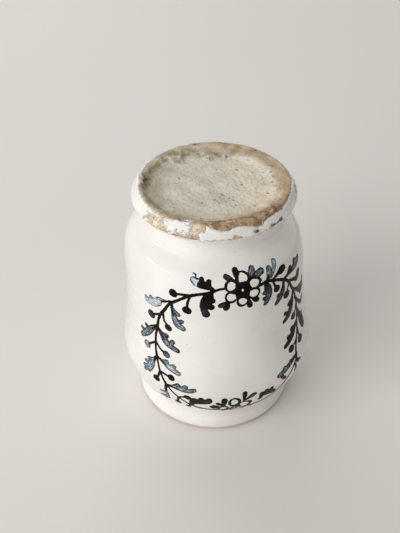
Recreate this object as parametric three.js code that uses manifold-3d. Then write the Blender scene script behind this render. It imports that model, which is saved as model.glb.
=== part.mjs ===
// A tin-glazed earthenware drug jar with a painted wreath, standing upside down on its mouth.
// Units are millimetres, +Z is up, the origin lies on the floor under the middle of the jar.
import * as THREE from 'three';
import { mergeVertices } from 'three/addons/utils/BufferGeometryUtils.js';
import Module from 'manifold-3d';

const wasm = await Module();
wasm.setup();

// Radii of the finished outside, from the mouth up to the foot.
const RIM_RADIUS = 40.9;
const NECK_RADIUS = 39.2;
const SHOULDER_RADIUS = 49.3;
const BODY_RADIUS = 44.4;
const WAIST_RADIUS = 32.3;
const FOOT_RADIUS = 38.9;
const BASE_RADIUS = 35.8;

// Heights of the same stations; the last two are measured down from the foot's face.
const JAR_HEIGHT = 130;
const RIM_HEIGHT = 4;
const NECK_HEIGHT = 10.4;
const SHOULDER_HEIGHT = 37;
const BODY_HEIGHT = 78;
const WAIST_DROP = 14.5;
const FOOT_DROP = 5.4;

// The clay wall, and the two coats fired onto it.
const WALL = 5.2;
const FLOOR_THICKNESS = 7.4;
const OUTER_GLAZE = 0.5;
const INNER_GLAZE = 0.4;

// Clay left bare: the flat worn land of the lip, a band above it, and the scraped foot.
const LIP_LAND = 3.0;
const LIP_BARE = 1.2;
const FOOT_BARE = 0.7;

// The shallow hollow turned into the underside.
const HOLLOW_RADIUS = 29.5;
const HOLLOW_SLOPE = 2.0;
const HOLLOW_DEPTH = 1.6;

// The painted wreath: a thin layer of pigment just clear of the glaze.
const PAINT_THICKNESS = 0.25;
const PAINT_CLEARANCE = 0.08;
const STEM_WIDTH = 1.7;
const STALK_WIDTH = 1.2;
const BUD_RADIUS = 2.2;
const PETAL_RADIUS = 3.0;
const PETAL_LINE = 1.1;
const TOP_DISC_RADIUS = 3.8;
const BOTTOM_DISC_RADIUS = 2.3;
const SPRIG_WIDTH = 2.8;

const LEAN = 1.15;
const SEGMENTS = 44;
const OUTSIDE_TOLERANCE = 0.22;
const INSIDE_TOLERANCE = 0.8;
const FLATNESS = 0.001;
const TURN = 2 * Math.PI;
const radians = THREE.MathUtils.degToRad;

// Outside of the finished jar as [height, radius].
const OUTSIDE = [
  [0, RIM_RADIUS - 3.2],
  [LIP_BARE, RIM_RADIUS - 1.6],
  [RIM_HEIGHT, RIM_RADIUS],
  [RIM_HEIGHT + 3, RIM_RADIUS - 0.4],
  [NECK_HEIGHT, NECK_RADIUS],
  [NECK_HEIGHT + 4.6, NECK_RADIUS + 0.6],
  [SHOULDER_HEIGHT - 17, SHOULDER_RADIUS - 5.1],
  [SHOULDER_HEIGHT - 11, SHOULDER_RADIUS - 2.3],
  [SHOULDER_HEIGHT, SHOULDER_RADIUS],
  [SHOULDER_HEIGHT + 10, SHOULDER_RADIUS - 1.5],
  [BODY_HEIGHT - 18, BODY_RADIUS + 1.4],
  [BODY_HEIGHT, BODY_RADIUS],
  [JAR_HEIGHT - WAIST_DROP - 19.5, BODY_RADIUS - 0.9],
  [JAR_HEIGHT - WAIST_DROP - 11.5, BODY_RADIUS - 3.4],
  [JAR_HEIGHT - WAIST_DROP - 5, WAIST_RADIUS + 1.2],
  [JAR_HEIGHT - WAIST_DROP, WAIST_RADIUS - 0.4],
  [JAR_HEIGHT - WAIST_DROP + 3, WAIST_RADIUS + 0.2],
  [JAR_HEIGHT - FOOT_DROP - 3.6, WAIST_RADIUS + 2.6],
  [JAR_HEIGHT - FOOT_DROP - 1.8, FOOT_RADIUS - 1.2],
  [JAR_HEIGHT - FOOT_DROP, FOOT_RADIUS],
  [JAR_HEIGHT - FOOT_DROP * 0.55, FOOT_RADIUS - 1.4],
  [JAR_HEIGHT, BASE_RADIUS],
];

// Inside of the clay as [height, radius], from the lip up to the middle of the floor.
const INSIDE_FLOOR = JAR_HEIGHT - HOLLOW_DEPTH - FLOOR_THICKNESS;
const INSIDE = [
  [0, RIM_RADIUS - 3.7 - LIP_LAND],
  [NECK_HEIGHT - 5.4, NECK_RADIUS - WALL],
  [NECK_HEIGHT + 1.6, NECK_RADIUS - WALL + 0.4],
  [SHOULDER_HEIGHT - 17, SHOULDER_RADIUS - WALL - 5.5],
  [SHOULDER_HEIGHT - 7, SHOULDER_RADIUS - WALL - 0.6],
  [SHOULDER_HEIGHT + 5, SHOULDER_RADIUS - WALL - 0.8],
  [BODY_HEIGHT - 18, BODY_RADIUS - WALL + 1.4],
  [JAR_HEIGHT - WAIST_DROP - 21.5, BODY_RADIUS - WALL - 0.8],
  [JAR_HEIGHT - WAIST_DROP - 11.5, BODY_RADIUS - WALL - 4.2],
  [JAR_HEIGHT - WAIST_DROP - 4.5, WAIST_RADIUS - WALL],
  [INSIDE_FLOOR - 4, WAIST_RADIUS - WALL - 4],
  [INSIDE_FLOOR - 1, WAIST_RADIUS - WALL - 12],
  [INSIDE_FLOOR, 0],
];

// How far the points between two ends of a run stray from the straight chord.
function strayFromChord(points, first, last) {
  const chord = points[last].clone().sub(points[first]).normalize();
  const run = points.slice(first, last);
  return Math.max(...run.map((p) => Math.abs(p.clone().sub(points[first]).cross(chord))));
}

// A smooth curve through the stations as [radius, height] pairs for turning.
// The first step is kept whole, tight bends take short steps and straight runs long ones.
function turnedLine(stations, tolerance) {
  const knots = stations.map(([height, radius]) => new THREE.Vector3(radius, height, 0));
  const curve = new THREE.CatmullRomCurve3(knots, false, 'centripetal');
  const stepsPerStation = 8;
  const fine = curve.getPoints((stations.length - 1) * stepsPerStation)
    .map((p) => new THREE.Vector2(Math.max(p.x, 0), p.y));
  let first = stepsPerStation;
  const kept = [fine[0], fine[first]];
  for (let i = first + 1; i < fine.length; i += 1) {
    if (strayFromChord(fine, first, i) > tolerance) {
      first = i - 1;
      kept.push(fine[first]);
    }
  }
  kept.push(fine[fine.length - 1]);
  return kept;
}

// The same line moved sideways by a distance; a positive one moves it toward the axis.
function movedLine(line, distance) {
  return line.map((point, i) => {
    const before = line[Math.max(i - 1, 0)];
    const after = line[Math.min(i + 1, line.length - 1)];
    const along = after.clone().sub(before).normalize();
    return new THREE.Vector2(point.x - along.y * distance, point.y + along.x * distance);
  });
}

const OUTER_LINE = turnedLine(OUTSIDE, OUTSIDE_TOLERANCE);
const CLAY_LINE = movedLine(OUTER_LINE, OUTER_GLAZE);
CLAY_LINE[0].y = 0;
CLAY_LINE[CLAY_LINE.length - 1].y = JAR_HEIGHT;
const INNER_CLAY_LINE = turnedLine(INSIDE, INSIDE_TOLERANCE);

// The radius of a turned line at a height.
function radiusAt(line, height) {
  const above = Math.max(line.findIndex((point) => point.y >= height), 1);
  const low = line[above - 1];
  const high = line[above];
  return THREE.MathUtils.mapLinear(height, low.y, high.y, low.x, high.x);
}

// The thrown form is a little out of true: the mouth and the foot stand off to one side
// of the shoulder, which is centred.
function leanAt(height) {
  const sway = (z) => Math.sin(TURN * ((0.92 * z) / JAR_HEIGHT - 0.02)) * (1 - (0.15 * z) / JAR_HEIGHT);
  return LEAN * (sway(height) - sway(SHOULDER_HEIGHT));
}

// A closed solid of revolution with its axis along Z, leaning as the jar does.
function turned(profile, segments = SEGMENTS) {
  const geometry = new THREE.LatheGeometry(profile, segments);
  geometry.rotateX(Math.PI / 2);
  const position = geometry.attributes.position;
  for (let i = 0; i < position.count; i += 1) {
    position.setX(i, position.getX(i) + leanAt(position.getZ(i)));
  }
  return geometry;
}

// Turns a closed geometry into a solid that can be joined and cut, facing out.
function solidFrom(geometry) {
  geometry.deleteAttribute('normal');
  geometry.deleteAttribute('uv');
  const welded = mergeVertices(geometry, 1e-4);
  const vertProperties = new Float32Array(welded.attributes.position.array);
  const triVerts = new Uint32Array(welded.index.array);
  const solid = new wasm.Manifold(new wasm.Mesh({ numProp: 3, vertProperties, triVerts }));
  if (solid.volume() > 0) {
    return solid;
  }
  const turnedOver = triVerts.slice().reverse();
  return new wasm.Manifold(new wasm.Mesh({ numProp: 3, vertProperties, triVerts: turnedOver }));
}

// A named mesh from a finished solid, with the flat neighbours that a cut leaves merged.
function meshFrom(name, solid, material) {
  const result = solid.asOriginal().simplify(FLATNESS).getMesh();
  const geometry = new THREE.BufferGeometry();
  geometry.setAttribute('position', new THREE.BufferAttribute(result.vertProperties, 3));
  geometry.setIndex(new THREE.BufferAttribute(result.triVerts, 1));
  geometry.computeVertexNormals();
  const mesh = new THREE.Mesh(geometry, material);
  mesh.name = name;
  return mesh;
}

// Dips in the scraped edge of the glaze round the foot, where some has come away.
// Each is [angle in degrees, how deep, half width in degrees]; zero faces -Y.
const GLAZE_DIPS = [
  [-52, 0.9, 6],
  [-16, 3.6, 5],
  [8, 1.5, 4],
  [32, 2.6, 3.5],
  [46, 0.4, 5],
  [104, 1.2, 7],
  [151, 1.8, 6],
  [-128, 1.5, 9],
];

function glazeEdgeHeight(degrees) {
  const ripple = 0.22 * Math.sin(radians(9 * degrees + 40)) + 0.14 * Math.sin(radians(23 * degrees));
  const dips = GLAZE_DIPS.map(([angle, depth, halfWidth]) => {
    const away = ((degrees - angle + 540) % 360) - 180;
    return depth * Math.exp(-((away / halfWidth) ** 2));
  });
  return JAR_HEIGHT - FOOT_BARE + ripple - dips.reduce((sum, dip) => sum + dip, 0);
}

// Everything above the ragged glaze edge, as a thick ring round the foot.
function aboveGlazeEdge() {
  const bottom = JAR_HEIGHT - 20;
  const top = JAR_HEIGHT + 10;
  const inner = WAIST_RADIUS / 2;
  const outer = SHOULDER_RADIUS + 10;
  const ring = [[inner, bottom], [outer, bottom], [outer, top], [inner, top], [inner, bottom]];
  const geometry = new THREE.LatheGeometry(ring.map(([r, z]) => new THREE.Vector2(r, z)), 72);
  geometry.rotateX(Math.PI / 2);
  const position = geometry.attributes.position;
  for (let i = 0; i < position.count; i += 1) {
    if (position.getZ(i) < JAR_HEIGHT) {
      const angle = Math.atan2(position.getX(i), -position.getY(i));
      position.setZ(i, glazeEdgeHeight(Math.round(THREE.MathUtils.radToDeg(angle))));
    }
  }
  return solidFrom(geometry);
}

// Chips knocked out of the foot's edge, through the glaze and into the clay.
// Each is [angle in degrees, drop from the foot's face, half width, half height, depth].
const CHIPS = [
  [-44, 4.4, 5.2, 1.9, 0.6],
  [-16, 4.8, 4.0, 3.6, 0.9],
  [11, 5.7, 4.4, 0.7, 0.5],
  [30, 5.1, 1.1, 1.0, 0.8],
  [47, 5.8, 2.8, 1.6, 0.8],
  [88, 3.8, 4.4, 1.7, 0.6],
  [-142, 5.2, 3.4, 1.3, 0.7],
];

// One chip: a lump that bites from outside the foot to its depth in the clay.
function chip([degrees, drop, halfWidth, halfHeight, depth]) {
  const height = JAR_HEIGHT - drop;
  const reach = 1.6;
  const geometry = new THREE.IcosahedronGeometry(1, 1);
  geometry.scale(halfWidth, depth + reach, halfHeight);
  geometry.rotateX(radians(9 * Math.sin(degrees)));
  geometry.translate(0, -(radiusAt(CLAY_LINE, height) + reach), 0);
  geometry.rotateZ(radians(degrees));
  geometry.translate(leanAt(height), 0, height);
  return solidFrom(geometry);
}

// How far the edge of the hollow under the foot strays from its radius, as
// [angle in degrees, distance]. It comes in at the back and runs out at the left.
const HOLLOW_EDGE = [
  [-180, -7.3],
  [-168, -5.0],
  [-150, -0.8],
  [-143, -3.6],
  [-128, 1.1],
  [-104, 3.2],
  [-67, 3.5],
  [-45, 3.4],
  [-22, 2.6],
  [0, 1.4],
  [20, 0.2],
  [40, 0.8],
  [55, 1.4],
  [74, 0.3],
  [115, -0.9],
  [148, -3.0],
  [163, -5.4],
  [180, -7.3],
];

function hollowStray(degrees) {
  const next = Math.max(HOLLOW_EDGE.findIndex(([angle]) => angle >= degrees), 1);
  const [fromAngle, fromStray] = HOLLOW_EDGE[next - 1];
  const [toAngle, toStray] = HOLLOW_EDGE[next];
  return THREE.MathUtils.mapLinear(degrees, fromAngle, toAngle, fromStray, toStray);
}

// The hollow under the foot, as the lump of clay that was taken out of it.
function hollow() {
  const floor = JAR_HEIGHT - HOLLOW_DEPTH;
  const top = JAR_HEIGHT + 0.5;
  const geometry = new THREE.LatheGeometry([
    new THREE.Vector2(0, floor),
    new THREE.Vector2(HOLLOW_RADIUS - HOLLOW_SLOPE, floor),
    new THREE.Vector2(HOLLOW_RADIUS, top),
    new THREE.Vector2(0, top),
  ], SEGMENTS);
  geometry.rotateX(Math.PI / 2);
  const position = geometry.attributes.position;
  for (let i = 0; i < position.count; i += 1) {
    const [x, y] = [position.getX(i), position.getY(i)];
    const radius = Math.hypot(x, y);
    if (radius > 1) {
      const stray = hollowStray(Math.round(THREE.MathUtils.radToDeg(Math.atan2(x, -y))));
      position.setX(i, x * (1 + stray / radius));
      position.setY(i, y * (1 + stray / radius));
    }
  }
  geometry.translate(leanAt(JAR_HEIGHT), 0, 0);
  return solidFrom(geometry);
}

// The clay, thrown in one piece: foot, waist, wall, shoulder, neck and lip.
function biscuitBody(chips) {
  const centre = new THREE.Vector2(0, JAR_HEIGHT);
  const body = solidFrom(turned([centre, ...CLAY_LINE.slice().reverse(), ...INNER_CLAY_LINE]));
  return body.subtract(hollow()).subtract(chips);
}

// The white outer coat, from just above the worn lip up to its ragged edge at the foot.
function outerGlaze(chips) {
  const against = CLAY_LINE.slice(1);
  const free = OUTER_LINE.slice(1).reverse();
  const coat = solidFrom(turned([...against, ...free, against[0].clone()]));
  return coat.subtract(aboveGlazeEdge()).subtract(chips);
}

// The inner coat, from inside the lip up over the floor of the jar.
function innerGlaze() {
  const against = INNER_CLAY_LINE.slice(1);
  const free = movedLine(INNER_CLAY_LINE, INNER_GLAZE).slice(1);
  free[free.length - 1] = new THREE.Vector2(0, INSIDE_FLOOR - INNER_GLAZE);
  return solidFrom(turned([...free.reverse(), ...against]));
}

// Places on the painted side are given as [across, up]: the distance round the jar from
// its front, which faces -Y, measured at the body, and the height as the pattern is drawn.
// The drawn span from one end of the body to the other is fitted to the real body.
const ACROSS_RADIUS = 45;
const DRAWN_SPAN = [20, 104];
const BODY_SPAN = [SHOULDER_HEIGHT - 17, JAR_HEIGHT - WAIST_DROP - 11.5];

function paintedHeight(up) {
  return THREE.MathUtils.mapLinear(up, ...DRAWN_SPAN, ...BODY_SPAN);
}

// A flat patch of the pattern: across in x, up in y, its thickness in z.
function painted(outline, hole) {
  const shape = new THREE.Shape(outline);
  if (hole) {
    shape.holes.push(new THREE.Path(hole));
  }
  return solidFrom(new THREE.ExtrudeGeometry(shape, { depth: 1, bevelEnabled: false }));
}

// Bends the flat pattern round the jar and stretches it through the glaze, along lines
// from the middle of the jar.
function throughGlaze(pattern) {
  const bent = meshFrom('pattern', pattern).geometry;
  const position = bent.attributes.position;
  const middle = new THREE.Vector3(0, 0, JAR_HEIGHT / 2);
  for (let i = 0; i < position.count; i += 1) {
    const height = paintedHeight(position.getY(i));
    const angle = position.getX(i) / ACROSS_RADIUS;
    const radius = radiusAt(OUTER_LINE, height);
    const point = new THREE.Vector3(radius * Math.sin(angle), -radius * Math.cos(angle), height);
    point.x += leanAt(height);
    const stretch = position.getZ(i) < 0.5 ? 0.94 : 1.06;
    point.sub(middle).multiplyScalar(stretch).add(middle);
    position.setXYZ(i, point.x, point.y, point.z);
  }
  return solidFrom(bent);
}

// A thin sleeve round the whole outside, as thick as the paint and just clear of the glaze.
function paintSleeve() {
  const under = movedLine(OUTER_LINE, -PAINT_CLEARANCE).slice(2, -2);
  const over = movedLine(OUTER_LINE, -PAINT_CLEARANCE - PAINT_THICKNESS).slice(2, -2).reverse();
  return solidFrom(turned([...under, ...over, under[0].clone()]));
}

// The outline of a brush stroke along a line, its width given at each point of the line.
function strokeOutline(points, widths) {
  const left = [];
  const right = [];
  points.forEach((point, i) => {
    const before = points[Math.max(i - 1, 0)];
    const after = points[Math.min(i + 1, points.length - 1)];
    const along = after.clone().sub(before).normalize();
    const side = new THREE.Vector2(-along.y, along.x).multiplyScalar(widths[i] / 2);
    left.push(point.clone().add(side));
    right.unshift(point.clone().sub(side));
  });
  return [...left, ...right];
}

function circleOutline([across, up], radius, corners) {
  return Array.from({ length: corners }, (_, i) => {
    const angle = TURN * (i / corners);
    return new THREE.Vector2(across + radius * Math.cos(angle), up + radius * Math.sin(angle));
  });
}

// The two main stems, each from the top flower round to the bottom flower.
const LEFT_STEM = [
  [5.4, 100.1], [-0.4, 99.6], [-9, 96.5], [-20, 89.6], [-28, 79.6], [-31.1, 69.5],
  [-31.5, 56.3], [-29.4, 46.7], [-24.2, 37.5], [-14.7, 25.7], [-7.1, 23.1], [4.9, 23.1],
];
const RIGHT_STEM = [
  [21.5, 98.6], [29.4, 98.1], [37.3, 94.8], [42.9, 87.7], [47.5, 77.8], [49.5, 66.8],
  [48.8, 56.3], [45.5, 44.8], [39.9, 34.3], [32.4, 25.7], [26.2, 23.2], [15, 23.1],
];

function stem(places) {
  const points = places.map((place) => new THREE.Vector2(...place));
  return painted(strokeOutline(points, points.map(() => STEM_WIDTH)));
}

// Buds as [foot of the stalk, bud], both [across, up].
const BUDS = [
  [[-9.2, 96.4], [-19.8, 95.3]],
  [[-12.4, 94.6], [-13.6, 86.8]],
  [[-27.5, 79.6], [-34, 75.9]],
  [[-26.5, 80.6], [-24.1, 72.7]],
  [[-31.4, 59.8], [-37.7, 55.5]],
  [[-31.4, 60.3], [-25.4, 55.6]],
  [[-28.4, 44.6], [-29.8, 38.1]],
  [[-28, 44.1], [-21.7, 42.5]],
  [[-18.6, 29.9], [-20, 24.5]],
  [[-19, 30.3], [-13.9, 32.2]],
  [[29.8, 97.5], [32.7, 92]],
  [[41.6, 90.4], [38.9, 84.7]],
  [[38.5, 93.5], [48.7, 89.1]],
  [[47.5, 77.8], [55.6, 69.7]],
  [[48.3, 74.8], [44.8, 66.6]],
  [[49, 57.8], [50.5, 47.4]],
  [[48, 51.8], [40.9, 48.4]],
];

function bud([foot, tip]) {
  const start = new THREE.Vector2(...foot);
  const end = new THREE.Vector2(...tip);
  const stalk = painted(strokeOutline([start, end], [STALK_WIDTH, STALK_WIDTH]));
  return stalk.add(painted(circleOutline(tip, BUD_RADIUS, 6)));
}

// Leaves as [foot, tip, how far the middle bows to the left, width, lobes on the bowed side].
const LEAVES = [
  [[-1.4, 99.9], [-11.8, 103.3], -1.2, 3.4, 3],
  [[-20.9, 89.7], [-38, 84.1], 0.6, 4.4, 3],
  [[-31.5, 70], [-41.9, 58], 1.0, 3.8, 3],
  [[-30.5, 51.2], [-37.6, 39.4], -1.8, 4.4, 3],
  [[-24.7, 37], [-28.4, 24.4], -0.8, 3.6, 2],
  [[-2.4, 98.5], [-4.7, 85.2], 2.0, 4.6, 3],
  [[-20.9, 88.1], [-15.6, 74.4], 3.0, 3.8, 3],
  [[-31, 70.1], [-19.1, 60.2], 1.8, 4.4, 3],
  [[-30.7, 51.7], [-17.8, 46.3], -0.6, 3.8, 3],
  [[-23.9, 37.6], [-10.1, 39.8], 1.6, 3.4, 3],
  [[-14.1, 25.5], [-3.4, 33.3], 0.8, 4.2, 3],
  [[25.7, 98.1], [24.7, 85.6], -2.4, 4.2, 2],
  [[36.9, 95], [30.7, 82.8], -2.0, 3.8, 2],
  [[44.9, 84.3], [36.1, 68.1], -3.0, 4.8, 3],
  [[49.3, 61.8], [35.8, 51.8], -1.6, 4.6, 3],
  [[45.7, 42.8], [29, 38.5], -0.6, 4.2, 3],
  [[32.4, 25.9], [19.6, 31.5], -1.6, 4.4, 3],
  [[27.8, 98.1], [34.4, 103.7], 0.8, 3.4, 2],
  [[29.8, 98.3], [39.7, 100.2], 0.6, 3.2, 2],
  [[36.9, 95.4], [53.1, 98.2], 0.9, 3.6, 3],
  [[44.9, 83.8], [60.4, 75.7], 1.0, 4.4, 3],
  [[49.1, 66.8], [58.6, 52.8], 1.6, 4.4, 3],
  [[48.4, 48.8], [56.1, 36.9], 1.4, 4.2, 3],
  [[42.6, 37.5], [46, 24.9], 0.8, 3.6, 2],
];

// A lobed leaf: a slim base, then lobes that swell and draw in along one side.
function leaf([foot, tip, bow, width, lobes]) {
  const start = new THREE.Vector2(...foot);
  const end = new THREE.Vector2(...tip);
  const along = end.clone().sub(start).normalize();
  const aside = new THREE.Vector2(-along.y, along.x);
  const middle = start.clone().lerp(end, 0.5).addScaledVector(aside, 2 * bow);
  const spine = new THREE.QuadraticBezierCurve(start, middle, end);
  const lobedSide = Math.sign(bow);
  const steps = 2 * lobes + 1;
  const lobed = [];
  const smooth = [];
  for (let i = 0; i <= steps; i += 1) {
    const share = i / steps;
    const swell = Math.sin(Math.PI * Math.min(0.12 + share * 0.95, 1)) ** 0.6;
    const stalk = i < 2;
    const half = stalk ? STALK_WIDTH / 2 : width * 0.42 * swell + 0.35;
    const lobe = !stalk && i % 2 === 1 ? 1.5 : 0.75;
    const point = spine.getPoint(share);
    const out = spine.getTangent(share).rotateAround(new THREE.Vector2(), lobedSide * Math.PI / 2);
    lobed.push(point.clone().addScaledVector(out, stalk ? half : half * lobe));
    if (i < 2 || i === lobes + 1 || i === steps) {
      smooth.unshift(point.clone().addScaledVector(out, stalk ? -half : -half * 0.7));
    }
  }
  return painted([...lobed, ...smooth]);
}

// The two flowers, and the middles of the six petals round each.
const TOP_FLOWER = [13.2, 97.9];
const TOP_PETALS = [
  [13.8, 103.5], [19.9, 100.2], [18.8, 95.3], [13.1, 92.1], [7.8, 95.3], [8.1, 100.6],
];
const BOTTOM_FLOWER = [9.4, 24.9];
const BOTTOM_PETALS = [
  [7.3, 29.8], [13.1, 27.9], [3.8, 25.1], [15, 22.9], [5.7, 20.5], [11, 19.7],
];

// A flower: a dark disc, and open petals drawn as rings round it.
function flower(centre, discRadius, petals) {
  const disc = painted(circleOutline(centre, discRadius, 10));
  const rings = petals.map((petal) => {
    const outer = circleOutline(petal, PETAL_RADIUS, 8);
    const inner = circleOutline(petal, PETAL_RADIUS - PETAL_LINE, 7);
    return painted(outer, inner);
  });
  return wasm.Manifold.union([disc, ...rings]);
}

// Small leaves that show between the petals, as [foot, tip].
const SPRIGS = [
  [[11.7, 102.4], [10.9, 107.2]],
  [[10.3, 102.4], [5.1, 104.9]],
  [[16.3, 101.9], [20.5, 106.3]],
  [[17.7, 102.7], [25.3, 104.2]],
  [[17.5, 93.6], [21.3, 90.1]],
  [[15.5, 93.2], [16.9, 87.1]],
  [[8.1, 93.7], [1.8, 90.3]],
  [[7.8, 93.3], [4.7, 88.1]],
  [[11.5, 29.9], [12.6, 37.3]],
  [[12.9, 29.9], [18.2, 34.3]],
  [[3.9, 26.9], [3.1, 33.5]],
  [[3.5, 26.9], [-0.3, 30.3]],
  [[2.3, 24.9], [-3.3, 26.5]],
];

function sprig([foot, tip]) {
  const start = new THREE.Vector2(...foot);
  const end = new THREE.Vector2(...tip);
  const points = [start, start.clone().lerp(end, 0.7), end];
  return painted(strokeOutline(points, [STALK_WIDTH, SPRIG_WIDTH, SPRIG_WIDTH / 2]));
}

function paintedWreath() {
  const pattern = wasm.Manifold.union([
    stem(LEFT_STEM),
    stem(RIGHT_STEM),
    ...BUDS.map(bud),
    ...LEAVES.map(leaf),
    flower(TOP_FLOWER, TOP_DISC_RADIUS, TOP_PETALS),
    flower(BOTTOM_FLOWER, BOTTOM_DISC_RADIUS, BOTTOM_PETALS),
    ...SPRIGS.map(sprig),
  ]);
  return paintSleeve().intersect(throughGlaze(pattern));
}

const fired = {
  clay: new THREE.MeshStandardMaterial({ color: '#c3a67c', roughness: 0.9, metalness: 0 }),
  white: new THREE.MeshStandardMaterial({ color: '#efece4', roughness: 0.18, metalness: 0 }),
  cream: new THREE.MeshStandardMaterial({ color: '#e4dcc8', roughness: 0.25, metalness: 0 }),
  paint: new THREE.MeshStandardMaterial({ color: '#2b3138', roughness: 0.25, metalness: 0 }),
};

const group = new THREE.Group();
group.name = 'drug_jar';
const chips = wasm.Manifold.union(CHIPS.map(chip));
group.add(meshFrom('biscuit_body', biscuitBody(chips), fired.clay));
group.add(meshFrom('outer_glaze', outerGlaze(chips), fired.white));
group.add(meshFrom('inner_glaze', innerGlaze(), fired.cream));
group.add(meshFrom('painted_wreath', paintedWreath(), fired.paint));

export default group;
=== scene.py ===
# A tin-glazed earthenware drug jar with a painted wreath, standing upside down on its mouth.
# Sizes in the tables are millimetres; places on the painted side are (across, up), where
# across is the distance round the jar from its front, measured at the body.
import math

import bpy
import numpy as np
from mathutils import Matrix, Vector


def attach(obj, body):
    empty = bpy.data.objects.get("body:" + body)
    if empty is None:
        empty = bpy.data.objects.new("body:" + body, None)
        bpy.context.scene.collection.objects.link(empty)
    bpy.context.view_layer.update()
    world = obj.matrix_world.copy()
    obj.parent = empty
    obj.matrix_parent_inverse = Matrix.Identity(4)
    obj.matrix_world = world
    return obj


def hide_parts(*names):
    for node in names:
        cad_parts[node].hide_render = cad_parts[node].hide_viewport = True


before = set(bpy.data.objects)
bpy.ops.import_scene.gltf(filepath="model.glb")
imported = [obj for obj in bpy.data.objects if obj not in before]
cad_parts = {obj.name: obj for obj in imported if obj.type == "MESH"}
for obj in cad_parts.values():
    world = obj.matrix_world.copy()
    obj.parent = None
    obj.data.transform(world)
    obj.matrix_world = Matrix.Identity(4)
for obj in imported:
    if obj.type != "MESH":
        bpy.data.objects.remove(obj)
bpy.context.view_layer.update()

MM = 0.001

# Form of the jar.

JAR_HEIGHT = 130.0
RIM, NECK, SHOULDER, BODY = 40.9, 39.2, 49.3, 44.4
WAIST, FOOT, BASE = 32.3, 38.9, 35.8
LIP_BARE = 1.2
OUTER_GLAZE = 0.5
INNER_GLAZE = 0.4
SHOULDER_HEIGHT = 37.0
LEAN = 1.15
# The height above which the wall turns to the foot, and the height where the neck ends.
FOOT_START = 112.0
NECK_END = 22.0
# How far the worn corner of the foot reaches along the wall on each side.
WORN_CORNER = 2.4

OUTSIDE = [
    (0, RIM - 3.2), (LIP_BARE, RIM - 1.6), (4, RIM), (7, RIM - 0.4), (10.4, NECK),
    (15, NECK + 0.6), (20, SHOULDER - 5.1), (26, SHOULDER - 2.3), (37, SHOULDER),
    (47, SHOULDER - 1.5), (60, BODY + 1.4), (78, BODY), (96, BODY - 0.9), (104, BODY - 3.4),
    (110.5, WAIST + 1.2), (115.5, WAIST - 0.4), (118.5, WAIST + 0.2), (121, WAIST + 2.6),
    (122.8, FOOT - 1.2), (124.6, FOOT), (127, FOOT - 1.4), (JAR_HEIGHT, BASE),
]
INSIDE = [
    (0, 34.2), (5, 34.0), (12, 34.4), (20, 38.6), (30, 43.5), (42, 43.3), (60, 40.6),
    (94, 38.4), (104, 35.0), (111, 27.1), (117, 23.1), (120, 15.1), (121, 0),
]


def curve_through(stations, steps):
    """Points (radius, height) on a centripetal curve through the stations."""
    knots = np.array([(r, z) for z, r in stations], float)
    ends = [2 * knots[0] - knots[1]], [2 * knots[-1] - knots[-2]]
    p = np.concatenate([ends[0], knots, ends[1]])
    gap = np.sqrt(np.linalg.norm(np.diff(p, axis=0), axis=1))
    out = []
    for i in range(1, len(p) - 2):
        g0, g1, g2 = gap[i - 1], gap[i], gap[i + 1]
        a, b, c, d = p[i - 1], p[i], p[i + 1], p[i + 2]
        t1 = ((b - a) / g0 - (c - a) / (g0 + g1) + (c - b) / g1) * g1
        t2 = ((c - b) / g1 - (d - b) / (g1 + g2) + (d - c) / g2) * g1
        t = np.linspace(0, 1, steps, endpoint=False)[:, None]
        out.append(b + t1 * t + (3 * (c - b) - 2 * t1 - t2) * t**2
                   + (2 * (b - c) + t1 + t2) * t**3)
    return np.concatenate(out + [knots[-1:]])


class Line:
    """A turned line, read by the distance along it. It may go on over a flat shelf."""

    def __init__(self, stations, shelf=0.0):
        pts = curve_through(stations, 24)
        corner = np.sum(np.linalg.norm(np.diff(pts, axis=0), axis=1))
        if shelf:
            inward = np.arange(0.2, shelf, 0.2)[:, None] * [[-1, 0]]
            pts = np.concatenate([pts, pts[-1] + inward])
        step = np.linalg.norm(np.diff(pts, axis=0), axis=1)
        self.along = np.concatenate([[0], np.cumsum(step)])
        if shelf:
            pts = self.rounded(pts, corner)
        self.corner, self.length = corner, self.along[-1]
        self.radius, self.height = pts[:, 0], pts[:, 1]
        slope = np.gradient(pts, self.along, axis=0)
        slope /= np.linalg.norm(slope, axis=1)[:, None]
        self.out_r, self.out_z = slope[:, 1], -slope[:, 0]

    def rounded(self, pts, corner):
        """Wears the corner down by averaging over a short stretch of the line."""
        near = np.abs(self.along - corner) < WORN_CORNER
        fade = smooth(WORN_CORNER - np.abs(self.along[near] - corner), 0, 1.6)
        reach = np.linspace(-0.9, 0.9, 7) * fade[:, None]
        out = pts.copy()
        for axis in (0, 1):
            out[near, axis] = np.interp(self.along[near][:, None] + reach, self.along,
                                        pts[:, axis]).mean(1)
        return out

    def at(self, s):
        s = np.clip(s, 0, self.length)
        return [np.interp(s, self.along, v)
                for v in (self.radius, self.height, self.out_r, self.out_z)]

    def at_height(self, z):
        rising = self.along <= self.corner - 0.6
        return np.interp(z, self.height[rising], self.along[rising])


def smooth(x, low, high):
    t = np.clip((x - low) / (high - low), 0, 1)
    return t * t * (3 - 2 * t)


def sway(z):
    return np.sin(2 * np.pi * (0.92 * z / JAR_HEIGHT - 0.02)) * (1 - 0.15 * z / JAR_HEIGHT)


def lean(z):
    return LEAN * (sway(z) - sway(SHOULDER_HEIGHT))


def on_line(line, angle, s, lift=0.0):
    """Points in millimetres at an angle round the jar, a distance along a line and a lift off it."""
    radius, height, out_r, out_z = line.at(s)
    r, z = radius + lift * out_r, height + lift * out_z
    return np.stack([r * np.sin(angle) + lean(z), -r * np.cos(angle), z], -1)


OUTER, INNER = Line(OUTSIDE, 7.0), Line(INSIDE)

# Helpers.


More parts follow.
